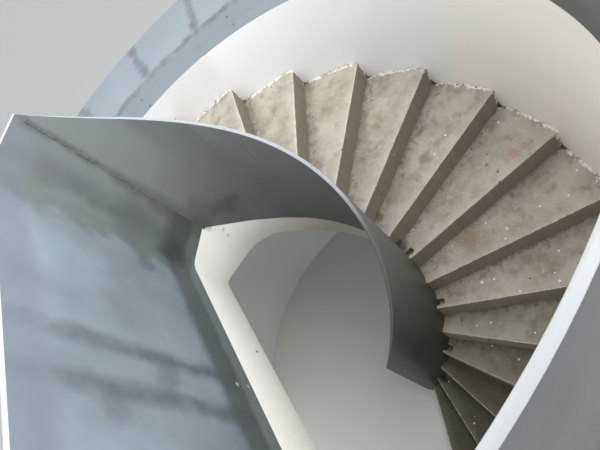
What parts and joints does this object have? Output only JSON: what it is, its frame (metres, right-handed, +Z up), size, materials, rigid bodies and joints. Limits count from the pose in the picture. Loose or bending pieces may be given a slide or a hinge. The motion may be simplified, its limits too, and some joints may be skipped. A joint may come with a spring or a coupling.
{
  "type": "spiral staircase",
  "caption": "Spiral staircase of raw concrete steps in a round plastered well, round an open eye with a thin curved plate as string and guard.",
  "frame": {"origin": "on the lower floor, in the middle of the first step on its walking line", "axes": "+Z up; +X outwards from the middle of the well through the first step; the flight climbs towards +Y, anticlockwise seen from above"},
  "size_m": [4.6678, 4.8191, 3.726],
  "materials": {
    "raw_concrete": "raw trowelled concrete, grey-beige, chipped and speckled",
    "white_plaster": "smooth white plaster on concrete",
    "cream_plaster": "smooth cream-white plaster",
    "grey_primer": "blue-grey primer with darker filler at the joints, white top edge",
    "floor_screed": "smooth blue-grey screed with darker joints"
  },
  "bodies": {
    "root": {"landing_guard_corner": "grey_primer", "landing_guard_panel": "grey_primer", "landing_slab": "white_plaster", "step_01": "raw_concrete", "step_02": "raw_concrete", "step_03": "raw_concrete", "step_04": "raw_concrete", "step_05": "raw_concrete", "step_06": "raw_concrete", "step_07": "raw_concrete", "step_08": "raw_concrete", "step_09": "raw_concrete", "step_10": "raw_concrete", "step_11": "raw_concrete", "step_12": "raw_concrete", "step_13": "raw_concrete", "step_14": "raw_concrete", "string_guard_1": "grey_primer", "string_guard_2": "grey_primer", "string_guard_3": "grey_primer", "string_guard_4": "grey_primer", "string_guard_5": "grey_primer", "string_guard_6": "grey_primer", "string_guard_7": "grey_primer", "upper_floor_1": "floor_screed", "upper_floor_2": "floor_screed", "upper_floor_3": "floor_screed", "waist_slab_1": "white_plaster", "waist_slab_2": "white_plaster", "waist_slab_3": "white_plaster", "waist_slab_4": "white_plaster", "waist_slab_5": "white_plaster", "waist_slab_6": "white_plaster", "waist_slab_7": "white_plaster", "well_guard_1": "grey_primer", "well_guard_2": "grey_primer", "well_guard_3": "grey_primer", "well_wall_1": "cream_plaster", "well_wall_2": "cream_plaster", "well_wall_3": "cream_plaster", "well_wall_4": "cream_plaster", "well_wall_5": "cream_plaster", "well_wall_6": "cream_plaster", "well_wall_7": "cream_plaster", "well_wall_8": "cream_plaster"}
  },
  "joints": []
}
